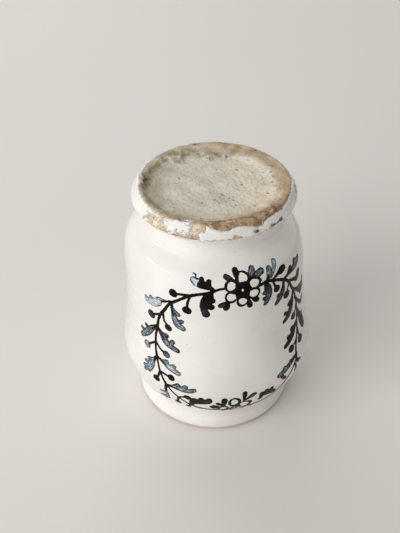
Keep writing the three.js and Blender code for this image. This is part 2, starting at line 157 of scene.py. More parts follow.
def lumps(points, size, seed, octaves=3):
    """A smooth lumpy field from about -1 to 1, with lumps of a size in millimetres."""
    rng = np.random.default_rng(seed)
    total, weight = np.zeros(points.shape[:-1]), 0.0
    for octave in range(octaves):
        share = 0.55**octave
        for _ in range(5):
            way = rng.normal(size=3)
            way *= 2 * np.pi * 1.9**octave / size / np.linalg.norm(way)
            total += share * np.sin(points @ way + rng.uniform(0, 2 * np.pi))
        weight += share * 1.6
    return total / weight


def make_mesh(name, points, faces, values, material):
    """A smooth-shaded mesh object from points in millimetres, with named values per point."""
    mesh = bpy.data.meshes.new(name)
    mesh.from_pydata((points * MM).tolist(), [], faces)
    mesh.validate()
    for key, data in values.items():
        mesh.attributes.new(key, "FLOAT", "POINT").data.foreach_set(
            "value", np.asarray(data, np.float32))
    mesh.polygons.foreach_set("use_smooth", [True] * len(mesh.polygons))
    obj = bpy.data.objects.new(name, mesh)
    bpy.context.scene.collection.objects.link(obj)
    mesh.materials.append(material)
    return obj


def add_piece(obj, node):
    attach(obj, "root")
    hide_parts(node)


def grid_faces(columns, rows):
    """Quads of a grid stored row by row, closed round the columns."""
    faces = []
    for low in range(0, (rows - 1) * columns, columns):
        for i in range(columns):
            k = (i + 1) % columns
            faces.append((low + columns + i, low + columns + k, low + k, low + i))
    return faces


def outlined(field, wrap):
    """Faces where a field on a grid is positive, trimmed along its zero line.
    Returns (places in grid steps, faces)."""
    n = len(field)
    inside = field > 0
    index, places, faces = {}, [], []

    def point(key, u, v):
        if key not in index:
            index[key] = len(places)
            places.append((u, v))
        return index[key]

    for i in range(n if wrap else n - 1):
        k = (i + 1) % n
        hits = (inside[i, :-1].astype(int) + inside[k, :-1] + inside[i, 1:] + inside[k, 1:])
        for j in np.nonzero(hits)[0]:
            corners = [(i, j, i, j), (k, j, i + 1, j), (k, j + 1, i + 1, j + 1), (i, j + 1, i, j + 1)]
            if hits[j] == 4:
                faces.append(tuple(point((c[0], c[1]), c[0], c[1]) for c in corners))
                continue
            loop = []
            for c, d in zip(corners, corners[1:] + corners[:1]):
                a, b = field[c[0], c[1]], field[d[0], d[1]]
                if a > 0:
                    loop.append(point((c[0], c[1]), c[0], c[1]))
                if (a > 0) != (b > 0):
                    t = a / (a - b)
                    key = (min(c[:2], d[:2]), max(c[:2], d[:2]))
                    loop.append(point(key, c[2] + t * (d[2] - c[2]), c[3] + t * (d[3] - c[3])))
            if len(loop) > 2:
                faces.append(tuple(loop))
    return np.array(places, float), faces


def grid_value(field, places, wrap):
    """Values of a field on a grid at places in grid steps."""
    n, m = field.shape
    u, v = places[:, 0], np.clip(places[:, 1], 0, m - 1)
    i, j = np.floor(u).astype(int), np.minimum(np.floor(v).astype(int), m - 2)
    fu, fv = u - i, v - j
    if wrap:
        i, k = i % n, (i + 1) % n
    else:
        i = np.clip(i, 0, n - 1)
        k = np.minimum(i + 1, n - 1)
    return ((field[i, j] * (1 - fu) + field[k, j] * fu) * (1 - fv)
            + (field[i, j + 1] * (1 - fu) + field[k, j + 1] * fu) * fv)


# Materials.


def add_node(tree, kind, inputs=None, **settings):
    """A node with its settings, and its inputs linked or set, by name or number."""
    node = tree.nodes.new(kind)
    for key, value in settings.items():
        setattr(node, key, value)
    for key, value in (inputs or {}).items():
        if isinstance(value, bpy.types.NodeSocket):
            tree.links.new(value, node.inputs[key])
        else:
            node.inputs[key].default_value = value
    return node


class Nodes:
    """A short way to write a material's nodes."""

    def __init__(self, name, **shader):
        self.material = bpy.data.materials.new(name)
        self.material.use_nodes = True
        self.tree = self.material.node_tree
        self.shader = self.tree.nodes["Principled BSDF"]
        for key, value in shader.items():
            self.shader.inputs[key.replace("_", " ")].default_value = value
        self.place = self.add("ShaderNodeTexCoord").outputs["Object"]

    def add(self, kind, inputs=None, **settings):
        return add_node(self.tree, kind, inputs, **settings)

    def noise(self, scale, detail=3.0, roughness=0.5, stretch=None):
        place = self.place
        if stretch:
            place = self.add("ShaderNodeMapping", {"Vector": place, "Scale": stretch}).outputs[0]
        return self.add("ShaderNodeTexNoise", {"Vector": place, "Scale": scale, "Detail": detail,
                                               "Roughness": roughness}).outputs["Fac"]

    def value(self, name):
        return self.add("ShaderNodeAttribute", attribute_name=name).outputs["Fac"]

    def span(self, x, low, high, to_low=0.0, to_high=1.0):
        return self.add("ShaderNodeMapRange", {"Value": x, "From Min": low, "From Max": high,
                                               "To Min": to_low, "To Max": to_high},
                        interpolation_type="SMOOTHSTEP").outputs["Result"]

    def math(self, operation, a, b):
        return self.add("ShaderNodeMath", {0: a, 1: b}, operation=operation).outputs[0]

    def mix(self, share, a, b):
        """A mix of two colours, which are inputs 6 and 7 of the node."""
        return self.add("ShaderNodeMix", {0: share, 6: a, 7: b}, data_type="RGBA").outputs[2]

    def bump(self, height, strength, distance):
        return self.add("ShaderNodeBump", {"Height": height, "Strength": strength,
                                           "Distance": distance}).outputs["Normal"]

    def done(self, *sockets):
        """The material, with its colour and, where given, its roughness and normal linked."""
        for socket, name in zip(sockets, ("Base Color", "Roughness", "Normal")):
            self.tree.links.new(socket, self.shader.inputs[name])
        return self.material


def srgb(red, green, blue):
    """A colour given as 0 to 255 on screen, as the linear colour that a shader takes."""
    return tuple(((c / 255 + 0.055) / 1.055) ** 2.4 if c > 10 else c / 3294.6
                 for c in (red, green, blue)) + (1.0,)


def glaze_material():
    n = Nodes("tin_glaze", IOR=1.5, Coat_Weight=0.25, Coat_Roughness=0.04)
    cloud = n.noise(38, 4, 0.55)
    white = n.mix(n.span(cloud, 0.35, 0.7), srgb(240, 238, 234), srgb(232, 229, 223))
    warm = n.span(n.noise(17, 2, 0.5), 0.52, 0.75, 0, 0.4)
    white = n.mix(warm, white, srgb(236, 228, 217))
    specks = n.add("ShaderNodeTexVoronoi", {"Vector": n.place, "Scale": 260.0}, feature="F1").outputs
    dot = n.span(specks["Distance"], 0.05, 0.09, 1, 0)
    rare = n.span(n.noise(60, 2, 0.5), 0.62, 0.66)
    white = n.mix(n.math("MULTIPLY", n.math("MULTIPLY", dot, rare), 0.5), white, srgb(120, 96, 70))
    torn = n.math("ADD", n.value("inset"), n.span(n.noise(300, 3), 0.3, 0.7, -0.35, 0.35))
    edge = n.span(torn, 0.1, 0.8, 1, 0)
    white = n.mix(n.math("MULTIPLY", edge, 0.6), white, srgb(190, 165, 138))
    rough = n.span(n.noise(55, 3), 0.3, 0.7, 0.07, 0.13)
    skin = n.math("ADD", n.noise(90, 2, 0.4), n.math("MULTIPLY", n.noise(700, 2), 0.12))
    return n.done(white, rough, n.bump(skin, 0.2, 0.0005))


def clay_material():
    n = Nodes("bare_clay", IOR=1.45, Specular_IOR_Level=0.25)
    cloud = n.noise(55, 5, 0.6)
    fine = n.noise(420, 4, 0.65)
    colour = n.mix(n.span(cloud, 0.34, 0.68), srgb(232, 226, 212), srgb(213, 206, 190))
    # Cream clay, with a painted highlight in the patch on the right of the hollow.
    colour = n.mix(n.math("MULTIPLY", n.value("cream"), 0.8), colour, srgb(243, 229, 203))
    brown = n.mix(n.span(n.noise(120, 4, 0.6), 0.35, 0.7), srgb(203, 183, 152), srgb(152, 128, 98))
    colour = n.mix(n.value("brown"), colour, brown)
    # Rosy clay. Its share also paints a highlight at the front of the foot's face.
    rosy = n.mix(n.span(n.noise(160, 3), 0.3, 0.7), srgb(216, 184, 152), srgb(196, 158, 124))
    colour = n.mix(n.math("MULTIPLY", n.value("rosy"), 0.85), colour, rosy)
    rust = n.mix(n.span(n.noise(300, 5, 0.7), 0.36, 0.66), srgb(200, 170, 140), srgb(126, 98, 72))
    rust = n.mix(n.span(n.noise(620, 3), 0.6, 0.68), rust, srgb(228, 200, 166))
    colour = n.mix(n.value("rust"), colour, rust)
    peach = n.mix(n.span(n.noise(300, 3), 0.35, 0.7), srgb(248, 226, 196), srgb(218, 188, 154))
    colour = n.mix(n.value("fresh"), colour, peach)
    # Dark grime on the clay. The same share also paints shade in the pits, along the hollow's broken
    # wall and on the hollow's left wall.
    grime_and_shade = n.math("MULTIPLY", n.value("dirt"), n.span(n.noise(260, 4, 0.7), 0.25, 0.6, 0.7, 1.0))
    colour = n.mix(grime_and_shade, colour, srgb(80, 64, 44))
    # Dark pores: painted shade in small holes that the mesh does not have.
    for scale, size, share in ((1000.0, 0.27, 0.62), (420.0, 0.2, 0.75)):
        cell = n.add("ShaderNodeTexVoronoi", {"Vector": n.place, "Scale": scale, "Randomness": 0.9},
                     feature="F1").outputs["Distance"]
        some = n.span(n.noise(150 if scale > 500 else 300, 2), 0.45, 0.6)
        pore_shade = n.math("MULTIPLY", n.span(cell, size * 0.5, size, 1, 0), some)
        colour = n.mix(n.math("MULTIPLY", pore_shade, share), colour, srgb(104, 92, 72))
    colour = n.mix(n.span(fine, 0.36, 0.5, 0.3, 0), colour, srgb(160, 146, 122))
    rough = n.span(fine, 0.3, 0.7, 0.82, 0.98)
    return n.done(colour, rough, n.bump(n.math("ADD", fine, cloud), 0.25, 0.0005))


def inner_material():
    n = Nodes("inner_glaze_look", IOR=1.5, Coat_Weight=0.2, Coat_Roughness=0.1)
    cloud = n.noise(42, 4, 0.6)
    cream = n.mix(n.span(cloud, 0.35, 0.68), srgb(232, 226, 210), srgb(216, 204, 180))
    rough = n.span(n.noise(90, 3), 0.3, 0.7, 0.2, 0.36)
    return n.done(cream, rough, n.bump(n.noise(160, 3), 0.25, 0.0005))


def paint_material():
    n = Nodes("fired_pigment", IOR=1.5, Specular_IOR_Level=0.06)
    tone = n.value("tone")
    patchy = n.span(n.noise(520, 3, 0.6), 0.32, 0.68, -0.09, 0.09)
    wash = n.math("ADD", tone, n.math("MULTIPLY", patchy, n.span(tone, 0.1, 0.4)))
    brownish = n.mix(n.span(n.noise(240, 3), 0.35, 0.65), srgb(13, 11, 11), srgb(30, 22, 19))
    slate = n.mix(n.span(n.noise(330, 3), 0.3, 0.7), srgb(50, 56, 59), srgb(66, 76, 82))
    colour = n.mix(n.span(wash, 0.05, 0.45), brownish, slate)
    colour = n.mix(n.span(wash, 0.4, 0.85), colour, srgb(106, 118, 125))
    colour = n.mix(n.span(wash, 0.8, 1.15), colour, srgb(156, 169, 178))
    # Near white: a painted reflection of light in the glaze over the paint.
    colour = n.mix(n.span(wash, 1.15, 1.4), colour, srgb(208, 217, 223))
    rough = n.span(n.noise(150, 3), 0.3, 0.7, 0.2, 0.3)
    return n.done(colour, rough, n.bump(n.noise(90, 2, 0.4), 0.2, 0.0006))


def floor_material():
    n = Nodes("pale_floor", Roughness=0.7, Specular_IOR_Level=0.2)
    cloud = n.noise(1.6, 2, 0.5)
    return n.done(n.mix(n.span(cloud, 0.3, 0.7), srgb(240, 237, 232), srgb(235, 231, 225)))


GLAZE, CLAY, CREAM, PAINT = glaze_material(), clay_material(), inner_material(), paint_material()

# Foot and glaze edge.

# Chips in the foot's glaze: (degrees from the front, drop from the foot's face,
# half width, half height, depth into the clay).
CHIPS = [
    (8.5, 6.2, 5.0, 0.5, 0.5), (15.2, 5.2, 1.4, 0.8, 0.6), (28.8, 4.4, 0.9, 0.45, 0.8),
    (38, 6.2, 4.0, 0.35, 0.4), (46.5, 5.5, 3.8, 1.3, 0.7), (90, 3.6, 3.0, 0.9, 0.5),
    (-142, 5.2, 3.4, 1.3, 0.7),
]
# Where the glaze ends at the foot: (degrees, how far past the foot's edge).
GLAZE_END = [
    (-180, -0.7), (-160, -0.6), (-142, -1.0), (-128, -1.9), (-114, -0.6), (-101, 0.4),
    (-97.5, 2.4), (-92, 2.9), (-87, 2.3), (-84, 0.3), (-74, 0.4), (-60, 0.3), (-50, -0.4),
    (-42, -0.7), (-34, 0.1), (-28, 0.8), (-21, 2.4), (-12, 1.9), (-5, 0.1), (-0.5, -1.1),
    (4, -2.1), (10, -2.0), (15.5, -0.8), (20, -0.9), (24, -1.6), (27, -2.3), (30, -3.4),
    (34.5, -3.2), (38, -1.6), (44, -1.2), (55, -1.5), (62, -0.9), (72, -0.4), (84, 0.0),
    (94, -0.4), (104, -1.8), (116, -0.7), (136, -0.8), (151, -2.1), (164, -0.8), (180, -0.7),
]
MEAN_FOOT = 38.0


def turn_away(degrees, middle):
    return (degrees - middle + 540) % 360 - 180


def bump_at(degrees, middle, half):
    return np.exp(-(turn_away(degrees, middle) / half) ** 2)


def chip_field(angle, s, grow=0.0):
    """How far outside the nearest chip a place is, in millimetres, and that chip's depth."""
    degrees = np.degrees(angle)
    places = on_line(OUTER, angle, s)
    rough = 0.6 * lumps(places, 3.2, 11, 4)
    best, depth = np.full(np.shape(s), 9.0), np.zeros(np.shape(s))
    for a, drop, wide, high, deep in CHIPS:
        middle = OUTER.at_height(JAR_HEIGHT - drop)
        x = np.radians(turn_away(degrees, a)) * MEAN_FOOT / (wide + grow)
        y = (s - middle) / (high + grow)
        away = (np.hypot(x, y) - 1) * min(wide, high) + rough * min(1.0, high)
        depth = np.where(away < best, deep, depth)
        best = np.minimum(best, away)
    return best, depth


def crumbled(angle, s):
    """Glaze left on the front left of the foot, where it is flaked away: positive on the glaze."""
    places = on_line(OUTER, angle, s)
    degrees, down = turn_away(np.degrees(angle), 0), OUTER.corner - s
    ragged = lumps(places, 3.4, 12, 3)
    right = -10.5 + 5 * (1 - smooth(down, 0.3, 2.5))
    across = np.minimum(degrees + 53 + 4 * ragged, right - degrees + 3 * ragged) * 0.66
    top = 2.4 - 3.9 * smooth(degrees, -46, -35)
    inside = np.minimum(across, np.minimum(7.3 - down, down - top) + 0.5 * ragged)
    left = np.exp(-(((degrees + 27.5) / 10.5) ** 2 + ((down - 2.2) / 3.3) ** 2))
    crumbs = 2.7 * left - 0.8 + 0.85 * lumps(places, 2.3, 13, 4)
    return np.maximum(-inside, crumbs)


def side_colours(angle, s):
    """Dirt, brown and fresh shares of the clay laid bare on the foot's side."""
    flat = on_line(OUTER, angle, s)
    degrees, down = turn_away(np.degrees(angle), 0), OUTER.corner - s
    chips, _ = chip_field(angle, s, 0.3)
    mottle = lumps(flat, 1.6, 43, 3)
    dirt = 0.5 * smooth(mottle, 0.2, 0.7)
    dirt = np.maximum(dirt, 0.9 * smooth(down, 5.6, 7.0) * smooth(mottle, -0.9, 0.1))
    right = smooth(degrees, 22, 27) * smooth(-chips, -0.4, 0.3)
    dirt = np.maximum(dirt, right * (0.55 + 0.4 * bump_at(degrees, 28.8, 4)))
    brown = np.clip(0.15 + 0.6 * smooth(down, 3.5, 5.5) + 0.4 * lumps(flat, 4, 42, 3), 0, 1)
    fresh = np.exp(-(((degrees + 44) / 5) ** 2 + ((down - 5.0) / 1.7) ** 2))
    fresh += np.exp(-(((degrees + 12.5) / 6) ** 2 + ((down - 0.6) / 2.6) ** 2))
    fresh += bump_at(degrees, 15.2, 4) * smooth(-chips, -0.4, 0.3)
    fresh = np.clip(fresh * (1.1 + 0.7 * lumps(flat, 2.4, 44, 3)), 0, 1)
    return dirt * (1 - 0.8 * fresh), brown * (1 - 0.7 * fresh), fresh


def ripples(angle, s):
    """Throwing rings and hand-made unevenness of the thrown wall, in millimetres."""
    height = OUTER.at(s)[1]
    rings = np.sin(2 * np.pi * height / 6.2 + 0.9 * np.sin(angle + 1))
    body = smooth(height, 30, 52) * (1 - smooth(height, 84, 100))
    places = on_line(OUTER, angle, s)
    return 0.02 * rings * body + 0.14 * lumps(places, 46, 3, 2)


# The edge of the hollow under the foot: (degrees, radius). It is ragged at the back left.
HOLLOW_EDGE = [
    (-180, 22.0), (-174, 20.8), (-168, 24.4), (-158, 26.5), (-150, 29.0), (-143, 25.6),
    (-138, 28.0), (-128, 30.6), (-117, 31.4), (-104, 32.8), (-90, 33.2), (-67, 33.4),
    (-45, 33.2), (-22, 32.2), (0, 31.0), (20, 29.6), (40, 30.4), (55, 31.2), (74, 29.8),
    (96, 29.2), (115, 28.6), (134, 27.9), (148, 26.5), (163, 24.0), (175, 22.2), (180, 22.0),
]
HOLLOW_DEPTH = 1.6
# The step between the turning rings of the hollow.
RING_PITCH = 2.7
# Larger pits in the underside: (x, y, radius, depth).
PITS = [
    (3.6, -8.8, 0.6, 0.4), (4.2, -12.3, 0.5, 0.35), (0.2, -13.4, 0.6, 0.4), (2.2, -16.4, 0.5, 0.3),
    (6.8, -12, 0.5, 0.3), (8.6, -13.6, 0.5, 0.3), (5.2, -15.2, 0.5, 0.3), (2.6, -11.2, 0.5, 0.3),
    (1.4, -14.8, 0.4, 0.3), (4.4, -9.8, 0.4, 0.3), (-5.6, -15.6, 0.6, 0.3),
    (13, -0.8, 0.6, 0.5), (11.2, 11.8, 0.6, 0.5), (1.5, 12, 0.5, 0.4), (24.6, -8, 0.6, 0.7),
    (27.2, 0.6, 0.6, 0.6), (28, 4.6, 0.6, 0.6), (18, -18, 0.5, 0.4), (-16.2, 4.4, 0.6, 0.3),
    (25.6, -20.4, 0.5, 0.5), (20.8, 27.2, 0.8, 0.6), (6.4, 22.8, 0.6, 0.5), (10.4, 6.6, 0.4, 0.3),
    (-9, 33, 0.9, 0.4), (27, 8, 0.6, 0.5), (28, 13, 0.5, 0.5), (-6, -29, 0.6, 0.4),
]


# Dark patches on the underside: (x, y, half width, half height, share). The first four, at the far left,
# paint the shade on the hollow's left wall, which faces away from the key lamp; the rest are stains.
DARK_PATCHES = [
    (-31.8, 1, 2.6, 6, 1.1), (-28, -2, 6, 9, 0.3), (-30, 8, 4, 6, 0.5), (-26, 12.5, 6, 4.5, 0.3),
    (-20, 24, 4.5, 3.2, 0.6), (-16.5, 19.5, 3, 2, 0.6), (-12, 24.6, 3, 0.9, 0.6),
    (-5, 23.2, 4, 0.8, 0.6), (-1, 20.2, 0.9, 1.2, 0.35), (6.5, 34, 4.5, 1.8, 0.5),
    (-8, 33, 2.2, 1.1, 0.55), (21, 27.5, 7, 4, 0.28), (27.5, 2, 2.2, 7, 0.2),
    (-27, -14, 5, 9, 0.25), (-14, -29, 12, 2.2, 0.3), (3, -12, 5, 4, 0.1), (27, -20, 3, 5, 0.25),
]


def spot(x, y, middle_x, middle_y, wide, high):
    return np.exp(-(((x - middle_x) / wide) ** 2 + ((y - middle_y) / high) ** 2))


def underside(x, y):
    """Height of the foot's bare face over its plane, and its colour shares: dirt with painted shade in
    pits, cracks and on the hollow's shaded left wall, brown, cream with a painted highlight, rosy with a
    painted highlight, and rust."""
    places = np.stack([x, y, np.zeros_like(x)], -1)
    away = np.hypot(x, y)
    bearing = np.degrees(np.arctan2(x, -y))
    broken = np.clip(bump_at(bearing, -150, 42) + 0.6 * bump_at(bearing, -100, 20), 0, 1)
    edge = np.interp(bearing, *zip(*HOLLOW_EDGE))
    inside = edge - away + (0.25 + 0.5 * broken) * lumps(places, 4.5, 21, 4)
    gentle = smooth(np.cos(np.radians(bearing - 72)), -0.15, 0.75)
    wide = 1.3 + 4.2 * gentle + 1.2 * broken
    height = -HOLLOW_DEPTH * smooth(inside, -0.5 * wide, wide)
    height += 0.18 * lumps(places, 9, 22, 4)
    for size, seed in ((1.9, 23), (1.6, 33), (1.4, 34), (1.1, 35)):
        height += 0.022 * lumps(places, size, seed, 2)
    height -= 0.35 * broken * np.exp(-((inside - 0.3) / 0.8) ** 2)
    height += 0.25 * broken * np.exp(-((inside + 1.6) / 1.1) ** 2) * (0.6 + lumps(places, 5, 27, 2))
    rings = np.sin(away * 2 * np.pi / RING_PITCH + 0.5 * lumps(places, 9, 28, 1))
    height += 0.04 * rings * smooth(inside, 1, 4)
    dirt = np.zeros_like(x)
    rng = np.random.default_rng(7)
    small = [(*rng.uniform(-31, 31, 2), rng.uniform(0.25, 0.4), rng.uniform(0.1, 0.25))
             for _ in range(90)]
    # Pits are sunk into the face and darkened. The darkening is painted shade in them, with some grime.
    for px, py, radius, depth in PITS + small:
        pit = spot(x, y, px, py, radius, radius)
        height -= depth * pit
        dirt = np.maximum(dirt, pit * min(1.0, depth * 2.6))
    streak = smooth(lumps(places, 4, 24, 4), -0.35, 0.35)
    mottle = smooth(lumps(places, 1.8, 30, 3), -0.6, 0.6)
    # A dark line along the foot of the hollow's broken wall at the back left: painted shade under the
    # wall, with grime.
    crevice_dirt_and_shade = np.exp(-((inside - 0.35) / 0.42) ** 2)
    dirt = np.maximum(dirt, crevice_dirt_and_shade * np.clip((0.35 + 0.5 * streak) * broken, 0, 1))
    for sx, sy, half_x, half_y, share in DARK_PATCHES:
        dark_patch = spot(x, y, sx, sy, half_x, half_y)
        dirt = np.maximum(dirt, share * dark_patch * (0.55 + 0.3 * streak + 0.35 * mottle))
    outer = np.exp(-((away - 34.4) / 0.9) ** 2)
    dirt = np.maximum(dirt, 0.5 * streak * outer * bump_at(bearing, -60, 50))
    front = np.exp(-((away - 31.7) / 0.5) ** 2)
    front *= smooth(bearing, -24, -10) * (1 - smooth(bearing, 40, 52))
    dirt = np.maximum(dirt, 0.5 * front * (0.4 + 0.6 * streak))
    ring = 1 - smooth(inside, -1.2, 1.4)
    tan = lumps(places, 7, 25, 4)
    brown = ring * np.clip(0.62 + 0.38 * tan, 0.1, 1)
    border = smooth(away, 20, 33) * bump_at(bearing, -70, 80)
    brown = np.maximum(brown, border * np.clip(0.7 + 0.3 * tan, 0, 1))
    rust = smooth(bearing, -20, -6) * (1 - smooth(bearing, 48, 62))
    rust *= smooth(away, 31.0, 32.4)
    rust += 0.6 * smooth(away, 33, 34.6) * bump_at(bearing, -32, 14)
    rust += 0.6 * smooth(away, 32.4, 34) * bump_at(bearing, 66, 12)
    rosy = bump_at(bearing, 84, 36) * smooth(away, 26.5, 31.5) * (0.75 + 0.4 * lumps(places, 5, 29, 3))
    rosy = np.maximum(rosy, 0.35 * bump_at(bearing, 150, 30) * smooth(away, 25, 31))
    # A painted highlight on the front of the foot's face.
    rosy = np.maximum(rosy, 0.7 * spot(x, y, 17, -26.5, 10, 3.0))
    # A paler cream patch on the right of the hollow: the clay's own tone, with a painted highlight in
    # it.
    cream = spot(x, y, 19, -10, 9, 12) + 0.75 * spot(x, y, 15, 12, 10, 12)
    cream = np.clip(cream * (1 - ring) + 0.1 * lumps(places, 6, 26, 2), 0, 1)
    return height, dirt, brown, cream, np.clip(rosy, 0, 1), np.clip(rust, 0, 1)


def shelf_share(s):
    """0 on the foot's side, 1 on its bare face."""
    return smooth(s, OUTER.corner - 0.9, OUTER.corner + 0.8)


def clay_lift(angle, s):
    """How far the clay lies off the outer line, with its chips and the foot's uneven face."""
    flat = on_line(OUTER, angle, s)
    foot = OUTER.at_height(FOOT_START)
    chips, deep = chip_field(angle, s, 0.3)
    bite = deep * smooth(-chips, -0.2, 1.1)
    rough = 0.07 * lumps(flat, 1.8, 41, 3) * smooth(s, foot, foot + 6)
    side = -OUTER_GLAZE - bite + rough + ripples(angle, s)
    face = underside(flat[..., 0] - lean(JAR_HEIGHT), flat[..., 1])[0]
    share = shelf_share(s)
    return side * (1 - share) + face * share


# Outer glaze.


# The distance between rows of glaze points along the lip, the wall and the foot.
LIP_STEP, WALL_STEP, FOOT_STEP = 0.75, 1.05, 0.38
# The bead of glaze at the far left of the foot: its height, degrees and half width in degrees.
BEAD_HEIGHT, BEAD_TURN, BEAD_HALF = 0.9, -93, 4.2


def outer_glaze():
    columns = 480
    foot = OUTER.at_height(FOOT_START)
    neck = OUTER.at_height(NECK_END)
    start = OUTER.at_height(LIP_BARE) - 0.3
    rows = np.concatenate([
        np.arange(start, neck, LIP_STEP), np.arange(neck, foot, WALL_STEP),
        np.arange(foot, OUTER.corner + 3.6, FOOT_STEP),
    ])
    angle = 2 * np.pi * np.arange(columns) / columns
    a, s = np.meshgrid(angle, rows, indexing="ij")
    places = on_line(OUTER, a, s)
    degrees = turn_away(np.degrees(a), 0)
    ragged = 0.45 - 0.25 * smooth(degrees, -8, 0) * (1 - smooth(degrees, 60, 70))
    edge = OUTER.corner + np.interp(degrees, *zip(*GLAZE_END)) + ragged * lumps(places, 2.6, 5, 4)
    chips, _ = chip_field(a, s)
    field = np.minimum(np.minimum(edge - s, chips), s - start - 0.25)
    field = np.minimum(field, crumbled(a, s))
    spots, faces = outlined(field, True)
    inset = np.maximum(grid_value(field, spots, True), 0)
    along = np.interp(spots[:, 1], np.arange(len(rows)), rows)
    turn = 2 * np.pi * spots[:, 0] / columns
    at_foot = smooth(along, foot, foot + 8)
    roll = 0.2 * np.exp(-((inset - 1.4) / 0.8) ** 2) * at_foot
    bead = BEAD_HEIGHT * np.exp(-(turn_away(np.degrees(turn), BEAD_TURN) / BEAD_HALF) ** 2
                                - (along - OUTER.corner - 0.3) ** 2)
    share = shelf_share(along)
    under = clay_lift(turn, along)
    full = ripples(turn, along) * (1 - share) + (under + 0.3) * share + roll + bead
    cover = smooth(inset, 0, 0.7)
    lift = (under - 0.08) * (1 - cover) + full * cover
    lift = np.where(along < foot, full - (OUTER_GLAZE + 0.08) * (1 - cover), lift)
    points = on_line(OUTER, turn, along, lift)
    obj = make_mesh("glaze_coat", points, faces, {"inset": np.where(along > foot, inset, 9)}, GLAZE)
    add_piece(obj, "outer_glaze")


# Clay body.


def clay_body():
    columns = 420
    angle = 2 * np.pi * np.arange(columns) / columns
    names = ("dirt", "brown", "cream", "rosy", "rust", "fresh")
    points, shares = [], []

    def ring(xyz, *values):
        points.append(xyz)
        shares.append([np.broadcast_to(v, (columns,)) for v in values])

    top = lean(JAR_HEIGHT)
    last = OUTER.corner + 3.0
    edge = OUTER.at(last)[0] - 0.3
    for r in np.concatenate([np.linspace(0.02, 2.5, 5), np.arange(3.0, edge, 0.45)]):
        x, y = r * np.sin(angle), -r * np.cos(angle)
        h, *values = underside(x, y)
        ring(np.stack([x + top, y, JAR_HEIGHT + h], -1), *values, 0.0)
    foot = OUTER.at_height(FOOT_START)
    rows = np.concatenate([
        np.arange(last, foot, -0.4), np.linspace(foot, OUTER.at_height(LIP_BARE), 44),
    ])
    for s in rows:
        along = np.full(columns, s)
        flat = on_line(OUTER, angle, along)
        lift = clay_lift(angle, along)
        _, dirt, brown, *others = underside(flat[:, 0] - top, flat[:, 1])
        share = shelf_share(along)
        side_dirt, side_brown, fresh = side_colours(angle, along)
        cream, rosy, rust = others
        front = smooth(turn_away(np.degrees(angle), 0), -14, -5)
        low = OUTER.corner - along > 4.4
        ring(on_line(OUTER, angle, along, lift),
             side_dirt * (1 - share) + dirt * share, side_brown * (1 - share) + brown * share,
             cream * share, rosy * share, rust * np.maximum(share, front * (0.4 if low[0] else 1.0)),
             fresh * (1 - 0.5 * share))
    lip = curve_through([(LIP_BARE, RIM - 2.1), (0.35, RIM - 3.2), (0.0, RIM - 4.0),
                         (0.0, 35.2), (0.5, 34.5), (1.6, 34.15)], 4)[1:]
    for radius, height in lip:
        xyz = np.stack([radius * np.sin(angle) + lean(height), -radius * np.cos(angle),
                        np.full(columns, height)], -1)
        ring(xyz, 0.15, 0.5 + 0.3 * lumps(xyz, 7, 51, 3), 0.0, 0.0, 0.0, 0.0)
    for s in np.linspace(INNER.at_height(2.6), INNER.length - 0.05, 60):
        ring(on_line(INNER, angle, np.full(columns, s)), 0.1, 0.4, 0.0, 0.0, 0.0, 0.0)
    faces = grid_faces(columns, len(points))
    flat = np.concatenate(points)
    caps = np.array([flat[:columns].mean(0), flat[-columns:].mean(0)])
    low = (len(points) - 1) * columns
    for i in range(columns):
        k = (i + 1) % columns
        faces.append((i, k, len(flat)))
        faces.append((low + k, low + i, len(flat) + 1))
    values = {}
    for n, name in enumerate(names):
        ends = [shares[0][n][0], shares[-1][n][0]]
        values[name] = np.concatenate([*(row[n] for row in shares), ends])
    obj = make_mesh("clay_body", np.concatenate([flat, caps]), faces, values, CLAY)
    add_piece(obj, "biscuit_body")


# Inner glaze.


def inner_glaze():
    columns = 240
    angle = 2 * np.pi * np.arange(columns) / columns
    rows = np.linspace(INNER.at_height(4.2), INNER.length - 0.05, 96)
    points = []
    for j, s in enumerate(rows):
        along = np.full(columns, s)
        flat = on_line(INNER, angle, along)
        full = smooth(along, rows[0], rows[0] + 1.2)
        wave = 0.5 * lumps(flat, 9, 61, 3) if j < 3 else 0.0
        lift = -INNER_GLAZE * full + 0.05 * (1 - full) - 0.08 * full * (1 + lumps(flat, 14, 62, 2))
        points.append(on_line(INNER, angle, along + wave, lift))
    points = np.concatenate(points)
    faces = grid_faces(columns, len(rows))
    low = (len(rows) - 1) * columns
    faces += [(low + (i + 1) % columns, low + i, len(points)) for i in range(columns)]
    points = np.concatenate([points, points[-columns:].mean(0)[None]])
    obj = make_mesh("inside_coat", points, faces, {}, CREAM)
    add_piece(obj, "inner_glaze")


# Painted wreath.

# Stems as (across, up, half width).
LEFT_STEM = [
    (5.2, 100.2, .6), (2, 99.9, .6), (-1.6, 98.6, .85), (-5, 97.7, .8), (-8.3, 97, .8),
    (-11.5, 95.9, .9), (-14.7, 94.1, .75), (-18, 91.7, .8), (-21.3, 89.2, .85), (-23.3, 86.8, .8),
    (-25.5, 83.1, .8), (-27.6, 80.1, .85), (-29, 77, .8), (-29.8, 74.1, .75), (-30.3, 71, .85),
    (-31.1, 67.3, .75), (-31.6, 64.2, .7), (-31.8, 60.4, .75), (-31.7, 56.8, .65),
    (-31, 52.7, .85), (-30.2, 49.5, .65), (-29.4, 46.6, .6), (-28.4, 43.9, .7), (-26.8, 41.1, .6),
    (-24.7, 37.7, .8), (-23.3, 35.8, .6), (-21.7, 33.4, .6), (-19.1, 30.3, .7), (-16.7, 28.3, .6),
    (-14.4, 26.4, .7), (-11, 24.6, .7), (-8, 23.6, .75), (-4, 22.9, .75), (2, 22.7, .8),
    (6, 22.7, .8),
]
